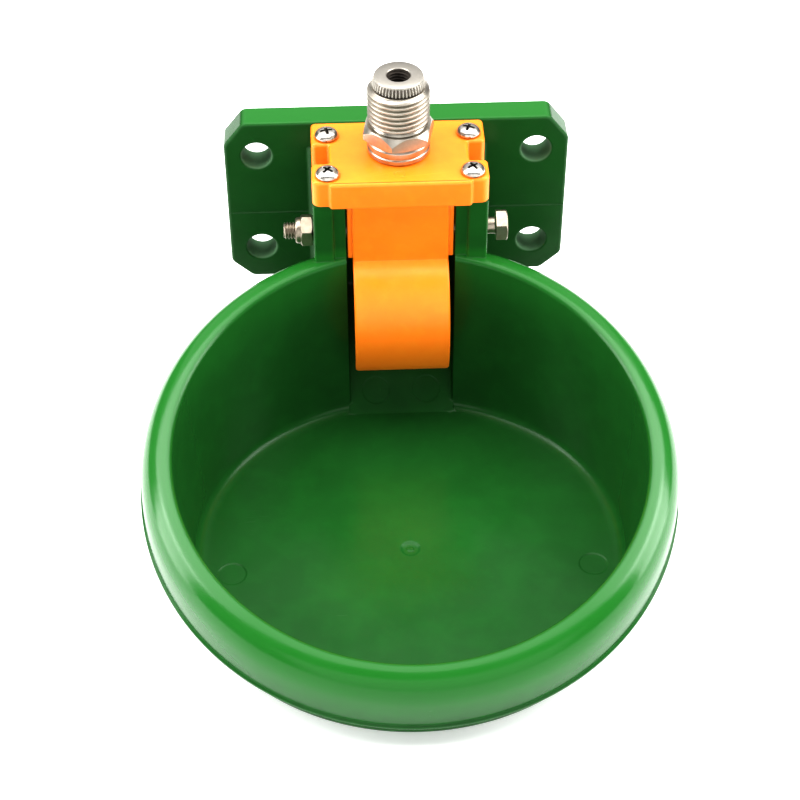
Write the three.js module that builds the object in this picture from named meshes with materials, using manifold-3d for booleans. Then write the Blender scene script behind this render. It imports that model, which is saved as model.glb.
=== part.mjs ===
// Wall-hung livestock drinking bowl with a press paddle and a spring-closed inlet valve.
// Millimetres. The origin is on the back face of the mounting plate, at the centre of its
// four holes. +X is to the right seen from the front, +Y goes into the wall, +Z is up.
import * as THREE from 'three';
import { mergeVertices } from 'three/addons/utils/BufferGeometryUtils.js';
import Module from 'manifold-3d';

const wasm = await Module();
wasm.setup();

// ---------- driving dimensions ----------
const GAP = 0.3;                 // clearance between pieces that touch
const FINE = 0.08;               // running clearance of a pivot

const plate = { halfWidth: 60.3, halfHeight: 33.5, thick: 10, topCut: [7, 9], lowCut: [7.5, 7] };
const holes = { x: 49, z: 20, r: 5.3 };
const plateBack = { skin: 3.6, border: 3, bossR: 8.6, ribHalf: 1.4, innerX: 15, midX: 34 };

const bowl = {
  axisY: -117.5, floorZ: -67.5, baseZ: -71.5, floorR: 73.2, baseR: 76.4,
  rimR: 76.9, rimTilt: THREE.MathUtils.degToRad(14), rimBackZ: 0, segments: 80,
};
const rimDrop = bowl.rimR * Math.sin(bowl.rimTilt);
const rimZ = bowl.rimBackZ - rimDrop;      // height of the rim circle's centre

const housing = { outer: 29.7, post: 22.8, inner: 18.7, front: -44.5, innerFront: -43, top: 23.3 };
const channel = { backY: -14.2, rampFootY: -50, rampTopZ: -34.5, wall: 3.6 };

const cover = {
  bottom: 23.6, top: 33.6, back: -10.3, front: -47, half: 23.6,
  earHalf: 29.7, earFront: -45.5, recess: [-23.6, -34], bore: 8.4,
};
const screw = { x: 24.3, y: [-18.7, -41.2], headR: 4, headH: 2.5, shankR: 1.9, length: 15 };

const valve = { y: -27.2, collarR: 10.6, collarTop: 39.9, flats: 22, hexTop: 45, hexTurn: -11.4 };
const pipeThread = { r: 10.4775, root: 9.32, pitch: 1.814, top: 59.4 };
const bore = { r: 7.3, seatZ: 30, outletR: 3.5, spigotR: 8.05, bottom: 18.4 };
const plug = { discR: 8.23, teethR: 8.95, holeR: 3.85, teeth: 46, low: 59.7, discLow: 62.4, high: 63.2, spigotR: 7, spigotLow: 53.6 };
const stem = { pinR: 1.75, tip: 13, headR: 5.2, headLow: 32.6, headHigh: 34.4, noseR: 2.4 };
const seal = { outer: 5.6, low: 30.3, high: 32.3 };
const spring = { coilR: 4.2, wireR: 0.45, turns: 6.5, low: 35.2, high: 53.1 };
const lockNut = { flats: 22, low: 19.3, high: 23.3 };

const hinge = { y: -36, z: 7, boltR: 3, headFlats: 10, headH: 4, headX: 33, endX: -40, nutX: -30 };
const paddle = {
  half: 16.5, flangeHalf: 18.2, flange: 2.2, top: 22.3, face: -44, skin: 3,
  bossR: 6, shelfTop: 12.7, shelfThick: 3, shelfBack: -20.6,
};

// ---------- solids ----------
function toManifold(geometry) {
  const bare = geometry.clone();
  bare.deleteAttribute('normal');
  bare.deleteAttribute('uv');
  const merged = mergeVertices(bare, 1e-4);
  const index = merged.index.array;
  const triangles = [];
  for (let i = 0; i < index.length; i += 3) {
    const [a, b, c] = [index[i], index[i + 1], index[i + 2]];
    if (a !== b && b !== c && c !== a) triangles.push(a, b, c);
  }
  const mesh = new wasm.Mesh({
    numProp: 3,
    vertProperties: new Float32Array(merged.attributes.position.array),
    triVerts: new Uint32Array(triangles),
  });
  return new wasm.Manifold(mesh);
}

function toGeometry(manifold) {
  const mesh = manifold.getMesh();
  const geometry = new THREE.BufferGeometry();
  geometry.setAttribute('position', new THREE.BufferAttribute(mesh.vertProperties, 3));
  geometry.setIndex(new THREE.BufferAttribute(mesh.triVerts, 1));
  geometry.computeVertexNormals();
  return geometry;
}

const join = (first, ...rest) => rest.reduce((sum, item) => sum.add(item), first);
const cut = (first, ...rest) => rest.reduce((sum, item) => sum.subtract(item), first);

function box(x0, x1, y0, y1, z0, z1) {
  const geometry = new THREE.BoxGeometry(x1 - x0, y1 - y0, z1 - z0);
  geometry.translate((x0 + x1) / 2, (y0 + y1) / 2, (z0 + z1) / 2);
  return toManifold(geometry);
}

function polygon(points) {
  return new THREE.Shape(points.map(([u, v]) => new THREE.Vector2(u, v)));
}

// Outline in the X-Y plane, raised along Z.
function raise(points, z0, z1) {
  const geometry = new THREE.ExtrudeGeometry(polygon(points), { depth: z1 - z0, bevelEnabled: false });
  geometry.translate(0, 0, z0);
  return toManifold(geometry);
}

// Outline of [y, z] points, swept along X.
function sweepX(points, x0, x1) {
  const geometry = new THREE.ExtrudeGeometry(polygon(points), { depth: x1 - x0, bevelEnabled: false });
  const toX = new THREE.Matrix4().makeBasis(
    new THREE.Vector3(0, 1, 0), new THREE.Vector3(0, 0, 1), new THREE.Vector3(1, 0, 0));
  geometry.applyMatrix4(toX);
  geometry.translate(x0, 0, 0);
  return toManifold(geometry);
}

// Outline of [x, z] points, swept along Y.
function sweepY(points, y0, y1) {
  const geometry = new THREE.ExtrudeGeometry(polygon(points), { depth: y1 - y0, bevelEnabled: false });
  geometry.rotateX(Math.PI / 2);
  geometry.translate(0, y1, 0);
  return toManifold(geometry);
}

// Profile of [radius, height] points that starts and ends on the axis, turned about Z.
function turn(profile, segments = 32) {
  const points = profile.map(([r, h]) => new THREE.Vector2(r, h));
  const geometry = new THREE.LatheGeometry(points, segments);
  geometry.rotateX(Math.PI / 2);
  return toManifold(geometry);
}

// Round bar along Z, then moved or turned by the caller.
function bar(r, z0, z1, segments = 32) {
  return turn([[0, z0], [r, z0], [r, z1], [0, z1]], segments);
}

// Round bar along X through (y, z).
function barX(r, x0, x1, y, z, segments = 32) {
  return bar(r, x0, x1, segments).rotate([0, 90, 0]).translate([0, y, z]);
}

// Round bar along Y through (x, z).
function barY(r, y0, y1, x, z, segments = 32) {
  return bar(r, -y1, -y0, segments).rotate([90, 0, 0]).translate([x, 0, z]);
}

// Hexagonal prism along Z with chamfered corners.
function hexagon(flats, z0, z1, lowChamfer, highChamfer, turnDeg = 0) {
  const corner = flats / Math.sqrt(3);
  const points = [];
  for (let i = 0; i < 6; i += 1) {
    const angle = THREE.MathUtils.degToRad(30 + turnDeg + 60 * i);
    points.push([corner * Math.cos(angle), corner * Math.sin(angle)]);
  }
  const prism = raise(points, z0, z1);
  const r = flats / 2 - 0.2;
  const out = corner + 0.2;
  const low = lowChamfer ? [[r, z0], [out, z0 + lowChamfer]] : [[out, z0]];
  const high = highChamfer ? [[out, z1 - highChamfer], [r, z1]] : [[out, z1]];
  return prism.intersect(turn([[0, z0], ...low, ...high, [0, z1]], 36));
}

// External helical thread along Z: a skewed grid whose rows follow the helix, trimmed square.
function helicalBar(major, minor, pitch, z0, z1, columns = 24) {
  const shares = [0, 0.16, 0.46, 0.66];
  const radii = [minor, minor, major, major];
  const rows = (Math.ceil((z1 - z0) / pitch) + 3) * 4;
  const start = z0 - 1.5 * pitch;
  const position = [];
  const index = [];
  const at = (i, j) => (j === columns ? at(i + 4, 0) : i * columns + j);
  for (let i = 0; i <= rows; i += 1) {
    for (let j = 0; j < columns; j += 1) {
      const angle = (2 * Math.PI * j) / columns;
      const r = radii[i % 4];
      const z = start + pitch * (Math.floor(i / 4) + shares[i % 4] + j / columns);
      position.push(r * Math.cos(angle), r * Math.sin(angle), z);
    }
  }
  const last = rows - 4;
  for (let i = 0; i < last; i += 1) {
    for (let j = 0; j < columns; j += 1) {
      index.push(at(i, j), at(i, j + 1), at(i + 1, j + 1));
      index.push(at(i, j), at(i + 1, j + 1), at(i + 1, j));
    }
  }
  const lowPoint = position.length / 3;
  position.push(0, 0, start - pitch);
  position.push(0, 0, start + pitch * (last / 4 + 3));
  for (let j = 0; j < columns; j += 1) {
    index.push(lowPoint, at(0, j + 1), at(0, j));
    index.push(lowPoint + 1, at(last, j), at(last, j + 1));
  }
  for (let i = 0; i < 4; i += 1) {
    index.push(lowPoint, at(i, 0), at(i + 1, 0));
    index.push(lowPoint + 1, at(last + i + 1, 0), at(last + i, 0));
  }
  const geometry = new THREE.BufferGeometry();
  geometry.setAttribute('position', new THREE.Float32BufferAttribute(position, 3));
  geometry.setIndex(index);
  const chamfer = (major - minor) * 1.1;
  const envelope = turn([
    [0, z0], [major, z0], [major, z1 - chamfer], [major - chamfer, z1], [0, z1]], columns);
  return toManifold(geometry).intersect(envelope);
}

// ---------- bowl ----------
// A section point is [radius, height] in the level frame of the floor or in the tilted frame
// of the rim; mix 0 takes the floor frame, mix 1 the rim frame and between them the wall.
function sectionPoint(angle, radius, height, mix) {
  const c = Math.cos(angle);
  const s = Math.sin(angle);
  const level = new THREE.Vector3(radius * c, bowl.axisY + radius * s, height);
  const along = Math.cos(bowl.rimTilt);
  const rise = Math.sin(bowl.rimTilt);
  const tilted = new THREE.Vector3(
    radius * c,
    bowl.axisY + radius * s * along - height * rise,
    rimZ + radius * s * rise + height * along);
  return level.lerp(tilted, mix);
}

function turnBowl(section) {
  const n = bowl.segments;
  const position = [];
  const index = [];
  section.forEach(([radius, height, mix]) => {
    for (let j = 0; j < n; j += 1) {
      const p = sectionPoint((2 * Math.PI * j) / n, radius, height, mix);
      position.push(p.x, p.y, p.z);
    }
  });
  for (let i = 0; i < section.length - 1; i += 1) {
    for (let j = 0; j < n; j += 1) {
      const k = (j + 1) % n;
      const [a, b, c, d] = [i * n + j, i * n + k, (i + 1) * n + k, (i + 1) * n + j];
      index.push(a, b, c, a, c, d);
    }
  }
  const geometry = new THREE.BufferGeometry();
  geometry.setAttribute('position', new THREE.Float32BufferAttribute(position, 3));
  geometry.setIndex(index);
  return toManifold(geometry);
}

const innerWall = [
  [0, bowl.floorZ, 0],
  [bowl.floorR - 4.5, bowl.floorZ, 0],
  [bowl.floorR - 1.6, bowl.floorZ + 0.9, 0],
  [bowl.floorR - 0.2, bowl.floorZ + 3.2, 0],
  [bowl.rimR, -1.3, 1],
];
const rimSection = [
  [bowl.rimR + 0.4, -0.4, 1],
  [bowl.rimR + 1.4, 0, 1],
  [bowl.rimR + 3.6, -0.25, 1],
  [bowl.rimR + 5.8, -1.1, 1],
  [bowl.rimR + 7.8, -2.6, 1],
  [bowl.rimR + 9.4, -4.9, 1],
  [bowl.rimR + 10.5, -8, 1],
  [bowl.rimR + 11.1, -12.5, 1],
  [bowl.rimR + 11.4, -20.6, 1],
  [bowl.rimR + 12.2, -21.4, 1],
  [bowl.rimR + 12.2, -22.6, 1],
  [bowl.rimR + 8.9, -22.6, 1],
  [bowl.rimR + 8.3, -10, 1],
  [bowl.rimR + 6.6, -5.6, 1],
  [bowl.rimR + 3.9, -4.4, 1],
];
const outerWall = [
  [bowl.baseR, bowl.baseZ + 6, 0],
  [bowl.baseR - 1.2, bowl.baseZ + 3, 0],
  [bowl.baseR - 3.2, bowl.baseZ + 1, 0],
  [bowl.baseR - 6, bowl.baseZ, 0],
  [0, bowl.baseZ, 0],
];
const bowlShell = turnBowl([...innerWall, ...rimSection, ...outerWall].reverse());
const bowlInside = turnBowl([...innerWall, [bowl.rimR + 0.2, 4, 1], [0, 4, 1]]);

// ---------- mounting plate ----------
function plateOutline() {
  const { halfWidth: w, halfHeight: h, topCut: [tx, tz], lowCut: [lx, lz] } = plate;
  return [
    [-w + lx, -h], [w - lx, -h], [w, -h + lz], [w, h - tz],
    [w - tx, h], [-w + tx, h], [-w, h - tz], [-w, -h + lz]];
}

function platePockets(side) {
  const b = plateBack;
  const depth = -plate.thick + b.skin;
  const x0 = b.innerX;
  const x1 = plate.halfWidth - b.border - 4.5;
  const z1 = plate.halfHeight - b.border;
  const [left, right] = side > 0 ? [x0, x1] : [-x1, -x0];
  let pocket = box(left, right, depth, 1, -z1, z1);
  pocket = cut(pocket, box(left - 1, right + 1, depth - 1, 2, -b.ribHalf, b.ribHalf));
  pocket = cut(pocket, box(side * b.midX - b.ribHalf, side * b.midX + b.ribHalf, depth - 1, 2, -z1, z1));
  for (const z of [-holes.z, holes.z]) {
    pocket = cut(pocket, barY(b.bossR, depth - 1, 2, side * holes.x, z));
  }
  return pocket;
}

// ---------- valve housing between bowl and plate ----------
const h = housing;
const frontPlateY = -plate.thick;
const postTops = raise([
  [-h.outer, h.front], [-h.post, h.front], [-h.post, h.innerFront], [h.post, h.innerFront],
  [h.post, h.front], [h.outer, h.front], [h.outer, frontPlateY + 1], [-h.outer, frontPlateY + 1],
], -plate.halfHeight, h.top);
const gutterHalf = h.inner + channel.wall;
const gutter = sweepX([
  [frontPlateY + 1, -20], [h.innerFront, -20], [-50, bowl.floorZ - 1], [-50, bowl.baseZ],
  [channel.rampFootY + 1.6, bowl.baseZ], [frontPlateY - 0.4, channel.rampTopZ - 4.2],
  [frontPlateY + 1, -plate.halfHeight],
], -gutterHalf, gutterHalf);
const throat = sweepX([
  [channel.backY, h.top + 1], [-60, h.top + 1], [-60, bowl.floorZ],
  [channel.rampFootY, bowl.floorZ], [channel.backY, channel.rampTopZ],
], -h.inner, h.inner);

let body = join(postTops, gutter);
body = cut(body, bowlInside);
body = join(body, sweepY(plateOutline(), -plate.thick, 0), bowlShell);
const rampSlope = (channel.rampTopZ - bowl.floorZ) / (channel.backY - channel.rampFootY);
body = join(body, sweepX([
  [channel.rampFootY - 1, bowl.floorZ - 1], [channel.rampFootY, bowl.floorZ],
  [-39, bowl.floorZ + rampSlope * (-39 - channel.rampFootY)], [-39, bowl.floorZ - 1],
], -h.inner, h.inner));
body = cut(body, throat, platePockets(1), platePockets(-1));
for (const x of [-holes.x, holes.x]) {
  for (const z of [-holes.z, holes.z]) {
    body = cut(body, barY(holes.r, -plate.thick - 1, 1, x, z));
  }
}
for (const x of [-screw.x, screw.x]) {
  for (const y of screw.y) {
    body = cut(body, bar(screw.shankR + GAP, h.top - 13, h.top + 1, 20).translate([x, y, 0]));
  }
}
body = cut(body, barX(hinge.boltR + 0.25, -h.outer - 1, h.outer + 1, hinge.y, hinge.z, 28));

// ---------- cover ----------
function coverOutline() {
  const c = cover;
  const right = [
    [c.half - 2, c.front], [c.half, c.front + 1.5], [c.earHalf - 3, c.earFront],
    [c.earHalf - 0.9, c.earFront + 0.9], [c.earHalf, c.earFront + 3],
    [c.earHalf, c.recess[1] - 2], [c.earHalf - 2, c.recess[1]], [c.half + 1, c.recess[1]],
    [c.half, c.recess[1] + 1], [c.half, c.recess[0] - 1], [c.half + 1, c.recess[0]],
    [c.earHalf - 2, c.recess[0]], [c.earHalf, c.recess[0] + 2], [c.earHalf, c.back - 2],
    [c.earHalf - 2, c.back]];
  const left = right.map(([x, y]) => [-x, y]).reverse();
  return [...right, ...left];
}

let coverSolid = raise(coverOutline(), cover.bottom, cover.top);
coverSolid = cut(coverSolid, bar(cover.bore, cover.bottom - 1, cover.top + 1).translate([0, valve.y, 0]));
for (const x of [-screw.x, screw.x]) {
  for (const y of screw.y) {
    coverSolid = cut(coverSolid,
      bar(screw.shankR + GAP, cover.bottom - 1, cover.top + 1, 20).translate([x, y, 0]));
  }
}

// ---------- fasteners ----------
function panScrew(turnDeg) {
  const { headR: r, headH: t, shankR: s, length } = screw;
  const head = turn([
    [0, -length], [0.5, -length], [s, -length + 3], [s, GAP], [r, GAP], [r, 1.1],
    [r * 0.9, 1.8], [r * 0.66, t], [0, t + GAP]], 24);
  const slot = raise([[-2.1, -0.45], [2.1, -0.45], [2.1, 0.45], [-2.1, 0.45]], t - 1.1, t + 1);
  return cut(head, slot, slot.rotate([0, 0, 90])).rotate([0, 0, turnDeg]);
}

function hingeBolt() {
  const { boltR: r, headX, headH, endX } = hinge;
  const crest = r - 0.12;
  const profile = [[0, endX], [crest - 0.7, endX]];
  for (let i = 0; i < 11; i += 1) {
    profile.push([crest, endX + 0.75 + i], [crest - 0.5, endX + 1.2 + i]);
  }
  profile.push([crest, endX + 11.75], [r, endX + 12.2], [r, headX + 0.5], [0, headX + 0.5]);
  const shank = turn(profile, 24);
  const head = hexagon(hinge.headFlats, headX, headX + headH, 0, 0.9);
  return join(shank, head).rotate([0, 90, 0]).translate([0, hinge.y, hinge.z]);
}

function lockingNut() {
  const inner = hinge.boltR + 0.15;
  const hex = hexagon(hinge.headFlats, 0, 4.1, 0.5, 0.9);
  const crown = turn([[0, 4], [4.4, 4], [4.4, 5.3], [3.9, 6], [0, 6]], 28);
  const nut = cut(join(hex, crown), bar(inner, -1, 7, 28), bar(3.75, 4.3, 5.6, 28));
  return nut.rotate([0, -90, 0]).translate([hinge.nutX, hinge.y, hinge.z]);
}

function nutInsert() {
  const ring = cut(bar(3.6, 4.45, 5.45, 28), bar(hinge.boltR + 0.15, 3, 7, 28));
  return ring.rotate([0, -90, 0]).translate([hinge.nutX, hinge.y, hinge.z]);
}

// ---------- valve ----------
function valveBody() {
  const v = valve;
  const spigot = turn([
    [0, bore.bottom], [bore.spigotR - 0.6, bore.bottom], [bore.spigotR, bore.bottom + 0.6],
    [bore.spigotR, cover.top + GAP], [v.collarR - 0.5, cover.top + GAP], [v.collarR, cover.top + 0.8],
    [v.collarR, v.collarTop - 0.6], [v.collarR - 0.6, v.collarTop + 0.2], [0, v.collarTop + 0.2]], 40);
  const hex = hexagon(v.flats, v.collarTop, v.hexTop, 0.7, 2.1, v.hexTurn);
  const thread = helicalBar(pipeThread.r, pipeThread.root, pipeThread.pitch, v.hexTop - 0.2, pipeThread.top);
  const passage = turn([
    [0, bore.bottom - 1], [bore.outletR, bore.bottom - 1], [bore.outletR, bore.seatZ],
    [bore.r, bore.seatZ], [bore.r, pipeThread.top + 1], [0, pipeThread.top + 1]], 36);
  return cut(join(spigot, hex, thread), passage).translate([0, v.y, 0]);
}

function inletPlug() {
  const p = plug;
  const outline = [];
  for (let i = 0; i < p.teeth * 2; i += 1) {
    const angle = (Math.PI * i) / p.teeth;
    const r = i % 2 ? p.discR - 0.2 : p.teethR;
    outline.push([r * Math.cos(angle), r * Math.sin(angle)]);
  }
  const band = raise(outline, p.low, p.discLow).intersect(turn([
    [0, p.low], [p.teethR - 0.3, p.low], [p.teethR, p.low + 0.3], [p.discR + 0.1, p.discLow],
    [0, p.discLow]], 46));
  const disc = turn([
    [0, p.discLow - 0.3], [p.discR - 0.3, p.discLow - 0.3], [p.discR - 0.05, p.discLow],
    [p.discR, p.discLow + 0.1], [p.discR, p.high - 0.3], [p.discR - 0.3, p.high], [0, p.high]], 46);
  const flange = join(band, disc);
  const spigot = bar(p.spigotR, p.spigotLow, p.low + 0.5, 32);
  return cut(join(flange, spigot), bar(p.holeR, p.spigotLow - 1, p.high + 1, 32)).translate([0, valve.y, 0]);
}

function valveStem() {
  const s = stem;
  return turn([
    [0, s.tip], [s.pinR * 0.5, s.tip + 0.12], [s.pinR * 0.87, s.tip + 0.6], [s.pinR, s.tip + 1.4],
    [s.pinR, s.headLow], [s.headR, s.headLow], [s.headR, s.headHigh - 0.4],
    [s.headR - 0.4, s.headHigh], [s.noseR, s.headHigh], [s.noseR, s.headHigh + 2.2],
    [s.noseR - 0.6, s.headHigh + 2.8], [0, s.headHigh + 2.8]], 28).translate([0, valve.y, 0]);
}

function stemSeal() {
  const ring = cut(
    turn([[0, seal.low], [seal.outer - 0.3, seal.low], [seal.outer, seal.low + 0.3],
      [seal.outer, seal.high], [0, seal.high]], 32),
    bar(stem.pinR + 0.2, seal.low - 1, seal.high + 1, 24));
  return ring.translate([0, valve.y, 0]);
}

class Coil extends THREE.Curve {
  getPoint(t, target = new THREE.Vector3()) {
    const angle = 2 * Math.PI * spring.turns * t;
    const run = spring.high - spring.low - 2 * spring.wireR;
    const flat = THREE.MathUtils.smoothstep(t, 0.06, 0.94);
    const z = spring.low + spring.wireR + run * (0.75 * (0.14 * t + 0.86 * flat) + 0.25 * t);
    return target.set(spring.coilR * Math.cos(angle), spring.coilR * Math.sin(angle) + valve.y, z);
  }
}

function valveSpring() {
  const tube = new THREE.Shape();
  tube.absarc(0, 0, spring.wireR, 0, 2 * Math.PI);
  return new THREE.ExtrudeGeometry(tube, {
    steps: 84, curveSegments: 4, bevelEnabled: false, extrudePath: new Coil(),
  });
}

function spigotNut() {
  const n = lockNut;
  const hex = hexagon(n.flats, n.low, n.high, 0.8, 0.8, 0);
  return cut(hex, bar(bore.spigotR + GAP, n.low - 1, n.high + 1, 36)).translate([0, valve.y, 0]);
}

// ---------- press paddle ----------
// Outer face of the nose as [y, z], from the crease under the upper block to the tip.
const noseFace = [
  [-44, -1], [-48.6, -3.2], [-53, -7.2], [-56.6, -12.4], [-58.9, -18.2], [-60, -24.4],
  [-59.9, -30.4], [-58.7, -36], [-56.6, -40.2], [-53.6, -42.4]];
const noseBack = [
  [-51.6, -41.2], [-52.8, -38.6], [-54.9, -34.8], [-56.2, -29.8], [-56.4, -24.8], [-55.5, -19.4],
  [-53.4, -14.2], [-50.2, -9.8], [-46.4, -6.2], [-41.4, -3.4]];

function pressPaddle() {
  const p = paddle;
  const skin = sweepX([
    [p.face, p.top], ...noseFace, ...noseBack, [p.face + p.skin, p.top]], -p.half, p.half);
  const ribLine = [
    [-42, -1], [-47.6, -4.4], [-52, -8.4], [-55.4, -13.4], [-57.6, -18.9], [-58.6, -24.6],
    [-58.4, -30.2], [-57.2, -35.4], [-55, -39.6], [-51.8, -41.2], [-46, -30], [-41, -18],
    [-34, -3], [-36, 2], [-41, 6]];
  const flangeLine = [
    [-42.4, 20.8], [-42.4, -1.2], [-33, -1.2], [-30.2, 2], [-30.2, 19], [-32, 20.8]];
  let solid = skin;
  for (const side of [-1, 1]) {
    const [rib0, rib1] = side > 0 ? [p.half - 2.4, p.half] : [-p.half, -p.half + 2.4];
    const [out0, out1] = side > 0 ? [p.flangeHalf - p.flange, p.flangeHalf] : [-p.flangeHalf, -p.flangeHalf + p.flange];
    solid = join(solid, sweepX(ribLine, rib0, rib1), sweepX(flangeLine, out0, out1));
  }
  const shelf = sweepX([
    [hinge.y - 5, p.shelfTop - p.shelfThick], [p.shelfBack, p.shelfTop - p.shelfThick],
    [p.shelfBack, p.shelfTop], [hinge.y - 5, p.shelfTop]], -p.half, p.half);
  const boss = barX(p.bossR, -p.half, p.half, hinge.y, hinge.z, 28);
  const arm = sweepX([
    [hinge.y, hinge.z - 5.5], [-23, p.shelfTop - 2.6], [-23, p.shelfTop - 0.6], [hinge.y, p.shelfTop - 0.6],
  ], -1.5, 1.5);
  const web = sweepX([
    [p.face + 1, hinge.z + 2], [hinge.y, hinge.z + 2], [hinge.y, hinge.z - 2], [p.face + 1, hinge.z - 2],
  ], -p.half, p.half);
  solid = join(solid, shelf, boss, arm, web);
  return cut(solid, barX(hinge.boltR + FINE, -30, 30, hinge.y, hinge.z, 28));
}

// ---------- scene graph ----------
const green = { color: 0x1e7a2c, roughness: 0.32, metalness: 0 };
const orange = { color: 0xff9a1f, roughness: 0.38, metalness: 0 };
const steel = { color: 0xc9c4ba, roughness: 0.28, metalness: 1 };
const zinc = { color: 0xb4afa6, roughness: 0.35, metalness: 1 };
const rubber = { color: 0x1b1b1b, roughness: 0.8, metalness: 0 };
const nylon = { color: 0xe6e2d6, roughness: 0.6, metalness: 0 };

const trough = new THREE.Group();
trough.name = 'livestock_water_trough';

function place(parent, name, solid, look) {
  const geometry = solid.isBufferGeometry ? solid : toGeometry(solid);
  const mesh = new THREE.Mesh(geometry, new THREE.MeshStandardMaterial(look));
  mesh.name = name;
  parent.add(mesh);
  return mesh;
}

function assembly(name) {
  const group = new THREE.Group();
  group.name = name;
  trough.add(group);
  return group;
}

const shell = assembly('shell');
place(shell, 'bowl_body', body, green);
place(shell, 'valve_cover', coverSolid, orange);
let number = 1;
for (const x of [-screw.x, screw.x]) {
  for (const y of screw.y) {
    const mesh = place(shell, `cover_screw_${number}`, panScrew(20 + 31 * number), steel);
    mesh.position.set(x, y, cover.top);
    number += 1;
  }
}

const inlet = assembly('inlet_valve');
place(inlet, 'valve_body', valveBody(), steel);
place(inlet, 'valve_lock_nut', spigotNut(), steel);
place(inlet, 'inlet_plug', inletPlug(), steel);
place(inlet, 'valve_spring', valveSpring(), steel);
place(inlet, 'valve_stem', valveStem(), steel);
place(inlet, 'stem_seal', stemSeal(), rubber);

const pivot = assembly('paddle_pivot');
place(pivot, 'hinge_bolt', hingeBolt(), zinc);
place(pivot, 'hinge_nut', lockingNut(), zinc);
place(pivot, 'hinge_nut_insert', nutInsert(), nylon);
place(pivot, 'press_paddle', pressPaddle(), orange);

export default trough;
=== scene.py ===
# Looks of a wall-hung livestock drinking bowl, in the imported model's own frame: the wall is at
# Y = 0, the bowl hangs towards -Y, and Z is up. Lengths are in millimetres, except for the stage's
# lights, and each piece is scaled to metres when it is finished.
import math
import bpy
import bmesh
import numpy as np
from mathutils import Euler, Matrix, Vector


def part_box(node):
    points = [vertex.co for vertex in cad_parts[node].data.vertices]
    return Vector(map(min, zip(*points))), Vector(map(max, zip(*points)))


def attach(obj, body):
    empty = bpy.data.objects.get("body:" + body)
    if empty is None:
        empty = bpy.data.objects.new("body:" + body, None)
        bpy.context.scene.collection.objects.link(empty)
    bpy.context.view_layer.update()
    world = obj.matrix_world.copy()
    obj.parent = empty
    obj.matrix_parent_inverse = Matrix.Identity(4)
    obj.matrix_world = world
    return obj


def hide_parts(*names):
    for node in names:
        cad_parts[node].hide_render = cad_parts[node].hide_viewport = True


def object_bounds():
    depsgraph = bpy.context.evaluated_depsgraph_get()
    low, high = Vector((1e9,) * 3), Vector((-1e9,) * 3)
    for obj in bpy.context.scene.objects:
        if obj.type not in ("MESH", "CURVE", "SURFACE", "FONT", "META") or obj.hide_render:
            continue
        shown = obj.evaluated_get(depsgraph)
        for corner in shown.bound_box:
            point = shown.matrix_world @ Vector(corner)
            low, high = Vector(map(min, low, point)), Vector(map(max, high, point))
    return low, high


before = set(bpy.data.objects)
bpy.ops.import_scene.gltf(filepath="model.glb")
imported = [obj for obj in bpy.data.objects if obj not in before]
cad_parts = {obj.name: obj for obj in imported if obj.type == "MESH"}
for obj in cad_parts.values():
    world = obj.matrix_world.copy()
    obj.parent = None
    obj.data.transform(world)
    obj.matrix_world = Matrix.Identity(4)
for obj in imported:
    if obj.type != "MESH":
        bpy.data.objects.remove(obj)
cad_low, cad_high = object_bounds()
scene = bpy.context.scene
MM = 0.001
TAU = 2 * math.pi


# ---------------------------------------------------------------- dimensions
def node_box(node):
    """Lowest corner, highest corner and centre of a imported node, to a hundredth of a millimetre."""
    low, high = (np.array(corner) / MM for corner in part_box(node))
    return [np.round(point, 2).tolist() for point in (low, high, (low + high) / 2)]


body_low, body_high, _ = node_box("bowl_body")
cover_low, cover_high, _ = node_box("valve_cover")
_, plug_high, _ = node_box("inlet_plug")
_, _, hinge_centre = node_box("hinge_bolt")
_, _, valve_centre = node_box("valve_body")

# mounting plate: half width, half height, thickness, cut corners and the skin over its hollows
PLATE_W, PLATE_H, PLATE_T = 60.3, body_high[2], 10.0
PLATE_TOP_CUT, PLATE_LOW_CUT, PLATE_SKIN = (7.0, 9.0), (7.5, 7.0), 3.6
HOLE_X, HOLE_Z, HOLE_R = 49.0, 20.0, 5.3

# bowl: axis, floor and underside, then the rim's inner radius, slant and middle
AXIS_Y, FLOOR_Z, BASE_Z = -117.5, -67.5, body_low[2]
RIM_R, TILT = 76.9, math.radians(14)
RIM_Z = -RIM_R * math.sin(TILT)

# housing: half widths outside, between the cheeks' edges and inside the throat, its fronts and top
OUTER, POST, INNER = cover_high[0], 22.8, 18.7
FRONT, INNER_FRONT, HOUSING_TOP = -44.5, -43.0, 23.3
# ramp under the paddle, from the bowl's floor up to the throat's back, as (y, z)
RAMP_FOOT, RAMP_HEAD = (-50.0, FLOOR_Z), (-14.2, -34.5)

# pieces on the housing
COVER_LOW, COVER_TOP = cover_low[2], cover_high[2]
SCREWS = [node_box(f"cover_screw_{i}")[2][:2] for i in range(1, 5)]
SCREW_TURNS = (12, 51, -20, 33)
SCREW_HOLE_R, SCREW_HEAD_H = 2.2, 2.8
VALVE_Y, PLUG_TOP = valve_centre[1], plug_high[2]
HINGE_Y, HINGE_Z = hinge_centre[1:]

# the stage's round floor
FLOOR_CENTRE_Y = -100.0


# ---------------------------------------------------------------- mesh helpers
def new_object(name, data):
    obj = bpy.data.objects.new(name, data)
    scene.collection.objects.link(obj)
    return obj


def raw(verts, faces):
    """A closed working solid with its faces turned outwards."""
    mesh = bpy.data.meshes.new("work")
    mesh.from_pydata([tuple(float(c) for c in v) for v in verts], [], faces)
    bm = bmesh.new()
    bm.from_mesh(mesh)
    bmesh.ops.remove_doubles(bm, verts=bm.verts, dist=1e-5)
    bmesh.ops.recalc_face_normals(bm, faces=bm.faces)
    bm.to_mesh(mesh)
    bm.free()
    return new_object("work", mesh)


def drop(obj):
    mesh = obj.data
    bpy.data.objects.remove(obj)
    bpy.data.meshes.remove(mesh)


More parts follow.
